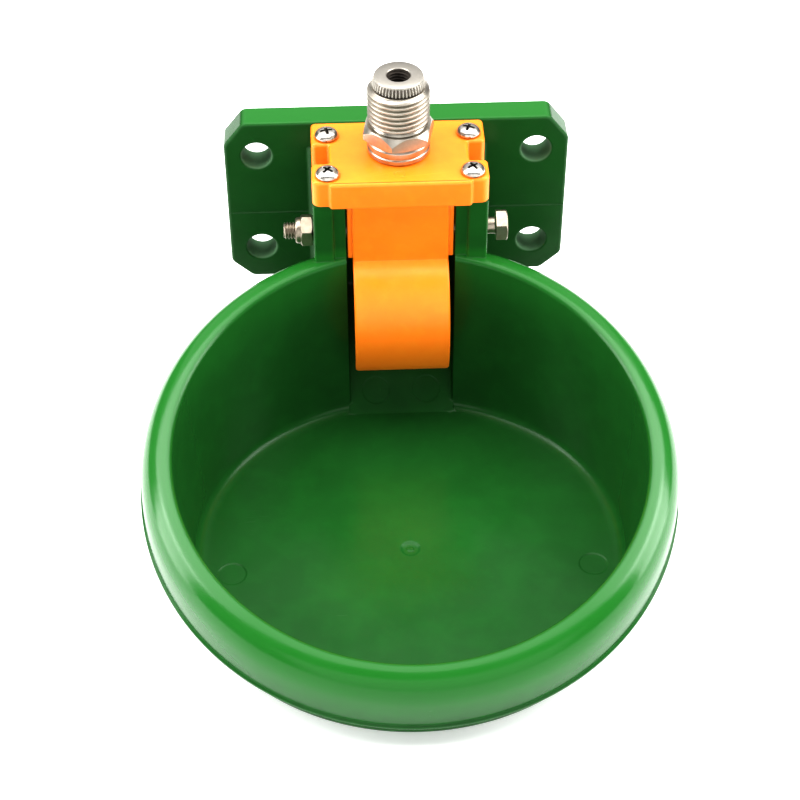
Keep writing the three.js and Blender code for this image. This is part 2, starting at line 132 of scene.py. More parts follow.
def bake(obj):
    """Applies the object's modifiers."""
    graph = bpy.context.evaluated_depsgraph_get()
    mesh = bpy.data.meshes.new_from_object(obj.evaluated_get(graph))
    obj.modifiers.clear()
    old, obj.data = obj.data, mesh
    bpy.data.meshes.remove(old)


def combine(obj, tool, operation):
    """Boolean with the fast solver, or with the exact one where the fast one changes nothing."""
    before = (len(obj.data.vertices), len(obj.data.polygons))
    source = obj.data.copy()
    for solver in ("MANIFOLD", "EXACT"):
        modifier = obj.modifiers.new("combine", "BOOLEAN")
        modifier.operation, modifier.object, modifier.solver = operation, tool, solver
        bake(obj)
        count = (len(obj.data.vertices), len(obj.data.polygons))
        if count != before and count[0] > 0:
            break
        print("combine: the", solver, "solver changed nothing in", operation)
        obj.data = source.copy()
    bpy.data.meshes.remove(source)
    drop(tool)
    return obj


def add(obj, *tools):
    for tool in tools:
        combine(obj, tool, "UNION")
    return obj


def cut(obj, *tools):
    for tool in tools:
        combine(obj, tool, "DIFFERENCE")
    return obj


def keep(obj, tool):
    return combine(obj, tool, "INTERSECT")


def shift(obj, x=0.0, y=0.0, z=0.0, turn=None):
    """Moves a working solid, after a turn given as (degrees, axis)."""
    matrix = Matrix.Translation((x, y, z))
    if turn:
        matrix = matrix @ Matrix.Rotation(math.radians(turn[0]), 4, turn[1])
    obj.data.transform(matrix)
    return obj


def soften(points, radius=0.0, seg=5, closed=True):
    """Rounds the corners of an outline; a point may carry its own radius as a third number."""
    out, n = [], len(points)
    for i, p in enumerate(points):
        r = p[2] if len(p) > 2 else radius
        c = np.array(p[:2], float)
        if r <= 0 or (not closed and i in (0, n - 1)):
            out.append(tuple(c))
            continue
        u = np.array(points[i - 1][:2], float) - c
        v = np.array(points[(i + 1) % n][:2], float) - c
        lu, lv = np.linalg.norm(u), np.linalg.norm(v)
        u, v = u / lu, v / lv
        angle = math.acos(max(-1.0, min(1.0, float(u @ v))))
        if angle > math.pi - 0.03:
            out.append(tuple(c))
            continue
        t = min(r / math.tan(angle / 2), 0.48 * lu, 0.48 * lv)
        r = t * math.tan(angle / 2)
        centre = c + (u + v) / np.linalg.norm(u + v) * (r / math.sin(angle / 2))
        w = c + u * t - centre
        sign = 1.0 if u[0] * v[1] - u[1] * v[0] < 0 else -1.0
        for k in range(seg + 1):
            a = sign * (math.pi - angle) * k / seg
            out.append((centre[0] + w[0] * math.cos(a) - w[1] * math.sin(a),
                        centre[1] + w[0] * math.sin(a) + w[1] * math.cos(a)))
    return out


def inset(points, d):
    """Moves each side of an anticlockwise outline inwards by d."""
    p = np.array(points, float)
    before, after = p - np.roll(p, 1, 0), np.roll(p, -1, 0) - p
    before /= np.linalg.norm(before, axis=1)[:, None]
    after /= np.linalg.norm(after, axis=1)[:, None]
    n1 = np.stack([-before[:, 1], before[:, 0]], 1)
    n2 = np.stack([-after[:, 1], after[:, 0]], 1)
    return p + (n1 + n2) / (1.0 + np.sum(n1 * n2, 1))[:, None] * d


def prism(outline, w0, w1, low, high, axis="Z", seg=3):
    """Outline swept along an axis, its end edges rounded by low and high."""
    p = np.array([q[:2] for q in outline], float)
    area = np.sum(p[:, 0] * np.roll(p[:, 1], -1) - np.roll(p[:, 0], -1) * p[:, 1])
    if area < 0:
        p = p[::-1]
    angles = [math.pi / 2 * k / seg for k in range(seg + 1)]
    levels = [(low * (1 - math.sin(a)), w0 + low * (1 - math.cos(a))) for a in (angles if low > 0 else [0.0])]
    levels += [(high * (1 - math.cos(a)), w1 - high * (1 - math.sin(a)))
               for a in (angles if high > 0 else [0.0])]
    verts, faces, n = [], [], len(p)
    for d, w in levels:
        for u, v in (inset(p, d) if d > 0 else p):
            verts.append({"Z": (u, v, w), "X": (w, u, v), "Y": (u, w, v)}[axis])
    faces.append(tuple(range(n - 1, -1, -1)))
    for i in range(len(levels) - 1):
        for j in range(n):
            k = (j + 1) % n
            faces.append((i * n + j, i * n + k, (i + 1) * n + k, (i + 1) * n + j))
    faces.append(tuple((len(levels) - 1) * n + j for j in range(n)))
    return raw(verts, faces)


def circle(r, z, n):
    """Ring of n points about Z, or the one point on the axis."""
    if r < 1e-6:
        return [(0, 0, z)]
    return [(r * math.cos(TAU * j / n), r * math.sin(TAU * j / n), z) for j in range(n)]


def rings_to_solid(rings, n):
    """Joins rings of points (or single points at the ends) into a closed skin."""
    verts, faces, ids = [], [], []
    for ring in rings:
        ids.append(list(range(len(verts), len(verts) + len(ring))))
        verts.extend(ring)
    for a, b in zip(ids, ids[1:]):
        for j in range(n):
            k = (j + 1) % n
            if len(a) == 1:
                faces.append((a[0], b[k], b[j]))
            elif len(b) == 1:
                faces.append((a[j], a[k], b[0]))
            else:
                faces.append((a[j], a[k], b[k], b[j]))
    return raw(verts, faces)


def lathe(profile, n):
    """Profile of (radius, height), from the axis back to the axis, turned about Z."""
    return rings_to_solid([circle(r, z, n) for r, z in profile], n)


def bar(r, z0, z1, n, chamfer=0.0):
    if chamfer:
        return lathe([(0, z0), (r - chamfer, z0), (r, z0 + chamfer), (r, z1 - chamfer),
                      (r - chamfer, z1), (0, z1)], n)
    return lathe([(0, z0), (r, z0), (r, z1), (0, z1)], n)


def flared(r, z0, z1, flare, n):
    """A hole's cutting tool: a bar that widens by flare at both faces z0 and z1."""
    past = 2.0
    quarter = np.linspace(0, math.pi / 2, 5)
    steps = [(flare * (1 - math.sin(a)), flare * (1 - math.cos(a))) for a in quarter]
    profile = [(0, z0 - past), (r + flare, z0 - past)]
    profile += [(r + d, z0 + e) for d, e in steps]
    profile += [(r + d, z1 - e) for d, e in reversed(steps)]
    profile += [(r + flare, z1 + past), (0, z1 + past)]
    return lathe(profile, n)


def hexagon(flats, z0, z1, low, high, turn):
    """Hexagonal prism, turned by degrees, whose corners are cut conically over low and high."""
    corner, edge_round = flats / math.sqrt(3), 0.18
    angles = [math.radians(30 + turn + 60 * i) for i in range(6)]
    outline = [(corner * math.cos(a), corner * math.sin(a), edge_round) for a in angles]
    r, out = flats / 2 - 0.15, corner + 0.5
    profile = [(0, z0)]
    profile += [(r, z0), (out, z0 + low)] if low else [(out, z0)]
    profile += [(out, z1 - high), (r, z1)] if high else [(out, z1)]
    profile += [(0, z1)]
    return keep(prism(soften(outline, seg=3), z0, z1, 0, 0), lathe(profile, 120))


SHARP_WAVE = [0.0, 0.0, 0.25, 0.75, 1.0, 1.0, 0.75, 0.25]
ROUND_WAVE = [0.0, 0.04, 0.3, 0.7, 0.96, 1.0, 0.96, 0.7, 0.3, 0.04]


def helix(major, minor, pitch, z0, z1, n, wave=SHARP_WAVE, taper_low=0.0):
    """Round bar with a helical thread, whose height over one pitch is the wave, from 0 to 1."""
    k = len(wave)
    rows = (math.ceil((z1 - z0) / pitch) + 3) * k
    start = z0 - 1.5 * pitch
    verts = []
    for i in range(rows + 1):
        r = minor + (major - minor) * wave[i % k]
        for j in range(n):
            a = TAU * j / n
            verts.append((r * math.cos(a), r * math.sin(a), start + pitch * (i / k + j / n)))

    def at(i, j):
        """Vertex j of row i; a full turn leads on to the row one pitch above."""
        return at(i + k, 0) if j == n else i * n + j

    last = rows - k
    faces = [(at(i, j), at(i, j + 1), at(i + 1, j + 1), at(i + 1, j)) for i in range(last) for j in range(n)]
    foot = len(verts)
    verts += [(0, 0, start - pitch), (0, 0, start + pitch * (last / k + 3))]
    for j in range(n):
        faces.append((foot, at(0, j + 1), at(0, j)))
        faces.append((foot + 1, at(last, j), at(last, j + 1)))
    for i in range(k):
        faces.append((foot, at(i, 0), at(i + 1, 0)))
        faces.append((foot + 1, at(last + i + 1, 0), at(last + i, 0)))
    clear, lead = major + 0.05, (major - minor) * 1.1
    trim = [(0, z0), (clear - taper_low, z0), (clear, z0 + taper_low + 1e-3), (clear, z1 - lead),
            (major - lead, z1), (0, z1)]
    return keep(raw(verts, faces), lathe(trim, n))


def curve_through(points, steps):
    """Catmull-Rom curve through points of any number of coordinates."""
    p = [np.array(q, float) for q in points]
    p = [2 * p[0] - p[1]] + p + [2 * p[-1] - p[-2]]
    out = []
    for i in range(1, len(p) - 2):
        for s in range(steps):
            t = s / steps
            out.append(0.5 * (2 * p[i] + (p[i + 1] - p[i - 1]) * t
                              + (2 * p[i - 1] - 5 * p[i] + 4 * p[i + 1] - p[i + 2]) * t * t
                              + (3 * p[i] - p[i - 1] - 3 * p[i + 1] + p[i + 2]) * t ** 3))
    out.append(p[-2])
    return [tuple(q) for q in out]


def finish_piece(obj, name, body, node, material, sharp=32):
    """Scales a working solid to metres, sets its shading and puts it in the frame for a CAD node."""
    obj.data.transform(Matrix.Scale(MM, 4))
    obj.name = obj.data.name = name
    obj.data.materials.clear()
    obj.data.materials.append(material)
    obj.data.shade_smooth()
    obj.data.set_sharp_from_angle(angle=math.radians(sharp))
    normals = obj.modifiers.new("normals", "WEIGHTED_NORMAL")
    normals.mode, normals.weight, normals.keep_sharp = "FACE_AREA", 60, True
    bake(obj)
    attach(obj, body)
    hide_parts(node)


# ---------------------------------------------------------------- materials
class Nodes:
    """A small builder for a material's node tree; coordinates are in millimetres."""

    def __init__(self, name):
        self.mat = bpy.data.materials.new(name)
        self.mat.use_nodes = True
        self.tree = self.mat.node_tree
        self.tree.nodes.clear()
        output = self.new("ShaderNodeOutputMaterial")
        self.bsdf = self.new("ShaderNodeBsdfPrincipled")
        self.link(self.bsdf.outputs[0], output.inputs[0])
        coord = self.new("ShaderNodeTexCoord").outputs["Object"]
        self.pos = self.vec("SCALE", coord, scale=1 / MM)

    def new(self, kind, **props):
        node = self.tree.nodes.new(kind)
        for k, v in props.items():
            setattr(node, k, v)
        return node

    def link(self, a, b):
        self.tree.links.new(a, b)

    def put(self, socket, value):
        if isinstance(value, bpy.types.NodeSocket):
            self.link(value, socket)
        else:
            socket.default_value = value

    def vec(self, op, a, b=None, scale=None):
        n = self.new("ShaderNodeVectorMath", operation=op)
        self.put(n.inputs[0], a)
        if b is not None:
            self.put(n.inputs[1], b)
        if scale is not None:
            n.inputs["Scale"].default_value = scale
        return n.outputs["Value"] if op in ("LENGTH", "DISTANCE") else n.outputs[0]

    def split(self, vector):
        """The three coordinates of a vector."""
        n = self.new("ShaderNodeSeparateXYZ")
        self.link(vector, n.inputs[0])
        return list(n.outputs)

    def math(self, op, a, b, clamp=False):
        n = self.new("ShaderNodeMath", operation=op, use_clamp=clamp)
        self.put(n.inputs[0], a)
        self.put(n.inputs[1], b)
        return n.outputs[0]

    def plus(self, a, b, share=None):
        """a + b, or a + b * share."""
        return self.math("ADD", a, b if share is None else self.times(b, share))

    def times(self, value, *factors):
        for factor in factors:
            value = self.math("MULTIPLY", value, factor)
        return value

    def noise(self, size, detail=2.0, rough=0.5, vector=None, distort=0.0):
        n = self.new("ShaderNodeTexNoise")
        self.put(n.inputs["Vector"], vector if vector is not None else self.pos)
        n.inputs["Scale"].default_value = 1.0 / size
        n.inputs["Detail"].default_value = detail
        n.inputs["Roughness"].default_value = rough
        n.inputs["Distortion"].default_value = distort
        return n.outputs[0]

    def spread(self, value, a, b, lo=0.0, hi=1.0):
        """Maps the stretch from a to b to the stretch from lo to hi, and stops at both ends."""
        n = self.new("ShaderNodeMapRange")
        for socket, number in zip(n.inputs, (value, a, b, lo, hi)):
            self.put(socket, number)
        return n.outputs[0]

    def mix(self, share, a, b):
        n = self.new("ShaderNodeMix", data_type="RGBA")
        self.put(n.inputs[0], share)
        for socket, colour in ((n.inputs[6], a), (n.inputs[7], b)):
            self.put(socket, colour if isinstance(colour, bpy.types.NodeSocket) else (*colour, 1))
        return n.outputs[2]

    def edges(self, low, high):
        return self.spread(self.new("ShaderNodeNewGeometry").outputs["Pointiness"], low, high)

    def soft_edges(self, radius):
        n = self.new("ShaderNodeBevel")
        n.samples = 4
        n.inputs["Radius"].default_value = radius * MM
        return n.outputs[0]

    def bump(self, height, distance, strength, normal=None):
        n = self.new("ShaderNodeBump")
        n.inputs["Strength"].default_value = strength
        n.inputs["Distance"].default_value = distance * MM
        self.put(n.inputs["Height"], height)
        if normal is not None:
            self.link(normal, n.inputs["Normal"])
        return n.outputs[0]

    def shade(self, **values):
        """Sets the shader's inputs, with _ for each space in their names."""
        for k, v in values.items():
            self.put(self.bsdf.inputs[k.replace("_", " ")], v)


def scratches(n, along, across, turn, low, high):
    """Thin streaks: noise stretched along one direction."""
    m = n.new("ShaderNodeMapping")
    n.link(n.pos, m.inputs["Vector"])
    m.inputs["Rotation"].default_value = turn
    m.inputs["Scale"].default_value = (1 / along, 1 / across, 1 / across)
    return n.spread(n.noise(1.0, 1.0, 0.4, m.outputs[0]), low, high)


def rim_painted_light(n):
    """Share of painted light on the rolled rim, a lighter green that stands for the light the rim catches,
    from 0 to 1.
    """
    from_axis = n.vec("SUBTRACT", n.pos, (0.0, AXIS_Y, RIM_Z))
    _, y, z = n.split(from_axis)
    level = n.math("SUBTRACT", n.times(z, math.cos(TILT)), n.times(y, math.sin(TILT)))
    radius = n.vec("LENGTH", n.vec("MULTIPLY", from_axis, (1.0, 1 / math.cos(TILT), 0.0)))
    past_wall, short_of_plate = n.spread(radius, RIM_R - 0.5, RIM_R + 2.0), n.spread(radius, 97, 93)
    return n.times(past_wall, short_of_plate, n.spread(level, -19, -6), n.spread(level, 5, 2))


def plate_painted_shade(n):
    """Share of painted shade on the plate, a deeper green that stands for the shade on its face, from 0 to 1.
    """
    _, y, z = n.split(n.pos)
    return n.times(n.spread(y, -16, -9.6, 0.0, 0.6), n.spread(z, PLATE_H - 0.1, PLATE_H - 1.3))


def plate_top_painted_light(n):
    """Share of the plate's top edge, which gets a lighter green as painted light and a little more shine,
    from 0 to 1.
    """
    _, y, z = n.split(n.pos)
    return n.times(n.spread(y, -12, -9), n.spread(z, PLATE_H - 0.9, PLATE_H - 0.1))


def bore_painted_light_and_dullness(n):
    """Share of the inside of the plate's bolt holes, which get a paler green as painted light and a rougher,
    less shiny skin, from 0 to 1.
    """
    fold = n.vec("SUBTRACT", n.vec("ABSOLUTE", n.pos), (HOLE_X, 0.0, HOLE_Z))
    near = n.spread(n.vec("LENGTH", n.vec("MULTIPLY", fold, (1, 0, 1))), HOLE_R + 0.45, HOLE_R + 0.05)
    _, y, _ = n.split(n.pos)
    return n.times(near, n.spread(y, -10.5, -9.6))


def side_rim(n):
    """Share of the smoother skin at both sides of the rim, from 0 to 1."""
    x, _, _ = n.split(n.vec("ABSOLUTE", n.pos))
    return n.spread(x, 50, 80)


def green_plastic():
    deep, plain, cloudy, speckled = ((0.0112, 0.082, 0.0135), (0.0142, 0.101, 0.0172),
                                     (0.0160, 0.132, 0.0200), (0.022, 0.175, 0.030))
    # the next row holds painted colours: a paler green as painted light on the rim and the plate's top edge,
    # a darker green as painted shade on the plate, and a pale green as painted light inside the bolt holes
    painted_light_green, painted_shade_green, painted_bore_light_green = (0.0165, 0.140, 0.0190), (0.0108, 0.055, 0.0122), (0.110, 0.210, 0.115)
    flow_line, rubbed_edge = (0.022, 0.14, 0.022), (0.022, 0.165, 0.033)

    n = Nodes("glossy_green_plastic")
    broad, cloud = n.noise(48, 2.0, 0.5), n.noise(9, 3.0, 0.55)
    colour = n.mix(n.spread(broad, 0.3, 0.7), deep, plain)
    colour = n.mix(n.spread(cloud, 0.42, 0.75, 0.0, 0.35), colour, cloudy)
    colour = n.mix(n.spread(n.noise(0.8, 1.0, 0.4), 0.72, 0.80, 0.0, 0.2), colour, speckled)
    # painted light: a lighter green on the rim and along the plate's top edge, where the shine is raised too
    painted_light_share = n.math("MAXIMUM", rim_painted_light(n), plate_top_painted_light(n))
    colour = n.mix(painted_light_share, colour, painted_light_green)
    # painted shade: a darker green on the plate's face
    colour = n.mix(plate_painted_shade(n), colour, painted_shade_green)
    from_gate = n.vec("DISTANCE", n.pos, (0.0, AXIS_Y, FLOOR_Z))
    streaks = n.spread(n.noise(5, 2, 0.5, distort=2.0), 0.35, 0.7)
    colour = n.mix(n.times(n.spread(from_gate, 4, 34, 1.0, 0.0), streaks, 0.12), colour, flow_line)
    colour = n.mix(n.times(n.edges(0.515, 0.60), 0.10), colour, rubbed_edge)
    bore = bore_painted_light_and_dullness(n)
    # painted light: a paler green inside the bolt holes
    colour = n.mix(n.times(bore, 0.9), colour, painted_bore_light_green)

    marks = n.math("ADD", scratches(n, 9, 0.30, (0.3, 0.2, 0.9), 0.70, 0.80),
                   scratches(n, 12, 0.28, (1.1, -0.6, -0.5), 0.72, 0.82), clamp=True)
    rough = n.plus(n.spread(n.noise(16, 3.0, 0.6), 0.3, 0.75, 0.15, 0.26), marks, 0.05)
    rough = n.plus(rough, bore, 0.5)
    shine = n.plus(n.spread(painted_light_share, 0, 1, 0.18, 0.25), n.times(painted_light_share, side_rim(n), 0.3))
    shine = n.plus(shine, bore, -0.12)
    peel = n.plus(n.noise(2.4, 2.0, 0.5), marks, -0.06)
    wavy = n.bump(n.noise(22, 1.0, 0.4), 0.35, 0.35, n.soft_edges(0.7))
    n.shade(Base_Color=colour, Roughness=rough, Normal=n.bump(peel, 0.03, 0.55, wavy), IOR=1.5,
            Specular_IOR_Level=shine)
    return n.mat


def orange_plastic(name, top, deep):
    cloudy, speckled = (1.0, 0.35, 0.022), (0.74, 0.15, 0.006)
    rubbed_edge, glow = (1.0, 0.40, 0.045), (1.0, 0.05, 0.0)

    n = Nodes(name)
    colour = n.mix(n.spread(n.noise(26, 2.0, 0.5), 0.3, 0.72), deep, top)
    colour = n.mix(n.spread(n.noise(4.2, 3.0, 0.6), 0.48, 0.8, 0.0, 0.28), colour, cloudy)
    colour = n.mix(n.spread(n.noise(0.7, 1.0, 0.4), 0.30, 0.22, 0.0, 0.3), colour, speckled)
    colour = n.mix(n.times(n.edges(0.52, 0.62), 0.5), colour, rubbed_edge)
    marks = scratches(n, 11, 0.4, (0.2, 0.5, 1.3), 0.67, 0.75)
    rough = n.plus(n.spread(n.noise(7, 3.0, 0.6), 0.3, 0.75, 0.30, 0.44), marks, 0.12)
    grain = n.plus(n.noise(0.9, 2.0, 0.55), marks, -0.3)
    wavy = n.bump(n.noise(12, 1.0, 0.4), 0.25, 0.3, n.soft_edges(0.45))
    # the faint red emission is painted light: it lifts the orange where it lies in shade, though the plastic
    # is no lamp
    n.shade(Base_Color=colour, Roughness=rough, Normal=n.bump(grain, 0.03, 0.6, wavy), IOR=1.48,
            Specular_IOR_Level=0.45, Emission_Color=(*glow, 1.0), Emission_Strength=0.07)
    return n.mat


def turned_metal(name, colour, tint, low, high, centre=(0.0, VALVE_Y, 0.0), axis="Z", wear=0.25,
                 fold=None, hollow=None):
    """Plated or stainless metal with the fine rings that a lathe leaves about its axis.

    fold repeats the rings on both sides of the centre, for pieces that stand in a rectangle.
    hollow is the radius, top and crown of a bore or recess, which is painted darker inside as painted shade,
    and duller."""
    ring_size, painted_hollow_shade = 0.16, (0.045, 0.035, 0.028)
    worn = tuple(0.55 * c for c in tint)

    n = Nodes(name)
    local = n.vec("SUBTRACT", n.pos, centre)
    if fold:
        local = n.vec("SUBTRACT", n.vec("ABSOLUTE", local), fold)
    radius = n.vec("LENGTH", n.vec("MULTIPLY", local, (1, 1, 0) if axis == "Z" else (0, 1, 1)))
    height = n.split(local)["XYZ".index(axis)]
    pair = n.new("ShaderNodeCombineXYZ")
    n.link(radius, pair.inputs[0])
    n.link(height, pair.inputs[1])
    rings = n.noise(ring_size, 3.0, 0.7, pair.outputs[0])
    cloud = n.noise(3.5, 3.0, 0.6)
    base = n.mix(n.spread(cloud, 0.3, 0.7), colour, tint)
    base = n.mix(n.spread(n.noise(0.5, 1.0, 0.4), 0.68, 0.78, 0.0, wear), base, worn)
    rough = n.plus(n.spread(cloud, 0.3, 0.75, low, high), rings, 0.10)
    if hollow:
        reach, top, crown = hollow
        level = n.plus(height, n.times(radius, radius, crown))
        inside, below = n.spread(radius, reach + 0.08, reach - 0.08), n.spread(level, top - 0.15, top - 0.4)
        shade_and_dullness = n.times(inside, below)
        # painted shade: a dark colour inside the bore or recess
        base = n.mix(n.times(shade_and_dullness, 0.9), base, painted_hollow_shade)
        rough = n.plus(rough, shade_and_dullness, 0.25)
    relief = n.plus(n.times(rings, 0.6), n.noise(0.35, 2.0), 0.25)
    n.shade(Base_Color=base, Metallic=1.0, Roughness=rough,
            Normal=n.bump(relief, 0.012, 0.7, n.soft_edges(0.12)))
    return n.mat


def rubber():
    n = Nodes("valve_rubber")
    colour = n.mix(n.spread(n.noise(2.5, 3.0), 0.35, 0.7), (0.008, 0.008, 0.008), (0.022, 0.021, 0.020))
    n.shade(Base_Color=colour, Roughness=n.spread(n.noise(1.2, 3.0), 0.3, 0.7, 0.55, 0.8),
            Normal=n.bump(n.noise(0.35, 3.0), 0.04, 0.6), Specular_IOR_Level=0.35)
    return n.mat


def nylon():
    n = Nodes("insert_nylon")
    colour = n.mix(n.spread(n.noise(1.5, 3.0), 0.35, 0.7), (0.62, 0.60, 0.50), (0.80, 0.77, 0.66))
    n.shade(Base_Color=colour, Roughness=n.spread(n.noise(0.9, 2.0), 0.3, 0.7, 0.38, 0.55),
            Normal=n.bump(n.noise(0.3, 2.0), 0.02, 0.5), IOR=1.53)
    return n.mat


def floor_paint():
    """Pale paint that glows a little, and more so far from the object."""
    n = Nodes("pale_floor")
    colour = n.mix(n.spread(n.noise(300, 2.0), 0.3, 0.7), (0.90, 0.90, 0.90), (0.93, 0.93, 0.93))
    far = n.vec("LENGTH", n.vec("SUBTRACT", n.pos, (0.0, FLOOR_CENTRE_Y, 0.0)))
    n.shade(Base_Color=colour, Roughness=0.85, Specular_IOR_Level=0.1, Emission_Color=(1, 1, 1, 1),
            Emission_Strength=n.spread(far, 450, 1500, 0.33, 1.1))
    return n.mat


screw_middle = np.mean(SCREWS, axis=0)
screw_reach = np.max(SCREWS, axis=0) - screw_middle

GREEN = green_plastic()
ORANGE = orange_plastic("satin_orange_cover", (1.0, 0.270, 0.017), (0.98, 0.238, 0.012))
PADDLE = orange_plastic("satin_orange_paddle", (1.0, 0.280, 0.014), (0.98, 0.242, 0.010))
STEEL = turned_metal("turned_nickel", (0.50, 0.465, 0.405), (0.37, 0.34, 0.29), 0.24, 0.34)
PLUG = turned_metal("plug_nickel", (0.44, 0.415, 0.375), (0.38, 0.355, 0.315), 0.34, 0.44,
                    hollow=(4.05, PLUG_TOP, 0.0))
SCREW = turned_metal("screw_steel", (0.60, 0.58, 0.54), (0.40, 0.37, 0.33), 0.19, 0.30,
                     centre=(*screw_middle, 0.0), fold=(*screw_reach, 0.0),
                     hollow=(2.7, COVER_TOP + SCREW_HEAD_H, 0.066))
ZINC = turned_metal("zinc_plate", (0.39, 0.345, 0.28), (0.29, 0.25, 0.195), 0.26, 0.38,
                    centre=(0.0, HINGE_Y, HINGE_Z), axis="X", wear=0.45)
RUBBER = rubber()
NYLON = nylon()


# ---------------------------------------------------------------- bowl, housing and plate
def level_ring(r, z, n):
    """Level ring about the bowl's axis."""
    return [np.array((x, AXIS_Y + y, z)) for x, y, z in circle(r, z, n)]


def rim_ring(r, h, n):
    """Ring about the bowl's axis at height h over the plane of the slanting rim."""
    cos, sin = math.cos(TILT), math.sin(TILT)
    return [np.array((x, AXIS_Y + y * cos - h * sin, RIM_Z + y * sin + h * cos))
            for x, y, _ in circle(r, h, n)]


def between(a, b, steps, bulge=0.0):
    """Rings between two rings, a little hollow or full by bulge in millimetres."""
    out = []
    a, b = np.array(a), np.array(b)
    centre = np.array((0.0, AXIS_Y, 0.0))
    for s in range(1, steps):
        t = s / steps
        p = a * (1 - t) + b * t
        away = (p - centre) * (1, 1, 0)
        p = p + away / np.linalg.norm(away, axis=1)[:, None] * bulge * 4 * t * (1 - t)
        out.append(list(p))
    return out


def bowl_rings(n, inside_only=False):
    """Skin of the bowl from the middle of its floor over the rim to the middle of its underside.

    inside_only closes the skin a little above the rim, which gives the space in the bowl."""
    rim_foot, lid = -1.9, 4.0
    gate_mark = [(0.9, -0.28), (1.2, -0.5), (2.5, -0.5), (2.9, -0.36), (3.25, -0.08), (3.7, 0.0)]
    inside = [(r, 0.0) for r in (12, 24, 38, 52, 62, 68.2)]
    inside += [(69.7, 0.1), (71.0, 0.5), (72.0, 1.25), (72.65, 2.25), (73.0, 3.4)]
    middle = [(0, AXIS_Y, FLOOR_Z if inside_only else FLOOR_Z - 0.22)]
    rings = [middle] + [level_ring(r, FLOOR_Z + h, n) for r, h in ([] if inside_only else gate_mark) + inside]
    rings += between(rings[-1], rim_ring(RIM_R, rim_foot, n), 18, 0.35)
    if inside_only:
        top = [(0, AXIS_Y - lid * math.sin(TILT), RIM_Z + lid)]
        return rings + [rim_ring(RIM_R, rim_foot, n), rim_ring(RIM_R + 0.2, lid, n), top]

    # the rolled rim: a crown, then a lip that turns back under it, as distances out from RIM_R
    crown = [(0, rim_foot), (0.25, -0.95), (0.85, -0.3), (1.9, 0.0), (3.8, -0.28), (5.9, -1.1), (7.8, -2.6),
             (9.35, -4.9), (10.45, -8.0), (11.05, -12.4), (11.3, -16.6), (11.4, -20.4)]
    lip = [(11.4, -20.4), (11.42, -21.0, 0.3), (12.15, -21.4, 0.35), (12.2, -22.6, 0.4), (8.9, -22.6, 0.5),
           (8.3, -10.0, 3), (6.6, -5.6, 1.5), (3.9, -4.4)]
    crown, lip = ([(RIM_R + p[0], *p[1:]) for p in line] for line in (crown, lip))
    rim = curve_through(crown, 4) + soften(lip, seg=4, closed=False)[1:]
    rings += [rim_ring(r, h, n) for r, h in rim]

    # the outside wall runs down to a low foot ring round a raised underside
    under = BASE_Z + 1.1
    foot = soften([(76.4, -64.5), (76.2, BASE_Z, 6.0), (66, BASE_Z, 0.0), (64.6, BASE_Z, 0.5),
                   (63.8, under, 0.5), (50, under)], seg=6, closed=False)
    rings += between(rings[-1], level_ring(*foot[0], n), 14)
    rings += [level_ring(r, z, n) for r, z in foot + [(34, under), (18, under), (6, under)]]
    return rings + [[(0, AXIS_Y, under)]]


def plate_solid():
    w, h, (tx, tz), (lx, lz) = PLATE_W, PLATE_H, PLATE_TOP_CUT, PLATE_LOW_CUT
    outline = [(-w + lx, -h), (w - lx, -h), (w, -h + lz), (w, h - tz), (w - tx, h), (-w + tx, h),
               (-w, h - tz), (-w, -h + lz)]
    return prism(soften(outline, 3.4, seg=5), -PLATE_T, 0, 1.0, 0.5, axis="Y", seg=4)


def pocket_tools():
    """Hollows in the plate's back, between its ribs and the bosses of the bolt holes."""
    near_column, hole_column = (15.0, 32.6), (35.4, 52.8)
    half_rib, reach, boss_r = 1.4, 30.5, 8.6
    tools = []
    for side in (-1, 1):
        for column in (near_column, hole_column):
            left, right = sorted((side * column[0], side * column[1]))
            for low, high, hole_z in ((-reach, -half_rib, -HOLE_Z), (half_rib, reach, HOLE_Z)):
                outline = soften([(left, low), (right, low), (right, high), (left, high)], 1.2, seg=3)
                tool = prism(outline, -PLATE_T + PLATE_SKIN, 2, 0.5, 0, axis="Y")
                if column == hole_column:
                    boss = lathe([(0, -4), (boss_r, -4), (boss_r, 12), (0, 12)], 64)
                    cut(tool, shift(boss, side * HOLE_X, 0, hole_z, (90, "X")))
                tools.append(tool)
    return tools


def mirrored(right):
    """Outline of a shape that is the same on both sides, from its right half."""
    return right + [(-p[0], *p[1:]) for p in right[::-1]]


def housing_outline():
    fillet_x, fillet_y, fillet_r = 31.9, -12.2, 2.2
    right = [(32.4, -9.4)]
    for a in np.linspace(95, 180, 7):
        right.append((fillet_x + fillet_r * math.cos(math.radians(a)),
                      fillet_y + fillet_r * math.sin(math.radians(a))))
    right += [(OUTER, FRONT, 1.0), (POST + 0.1, FRONT, 0.9), (POST, INNER_FRONT, 0.5)]
    return soften(mirrored(right), seg=4)


def bolt_hole_tool():
    """A bolt hole's cutting tool, narrowest at the wall and rounded at the front."""
    profile = [(0, -2), (HOLE_R + 0.1, -2), (HOLE_R + 0.1, 0, 0.0), (HOLE_R - 0.25, 0.35, 0.3),
               (HOLE_R, PLATE_T - 0.4, 0.3), (HOLE_R + 0.5, PLATE_T, 0.1), (HOLE_R + 0.5, 12), (0, 12)]
    return lathe(soften(profile, seg=4, closed=False), 72)


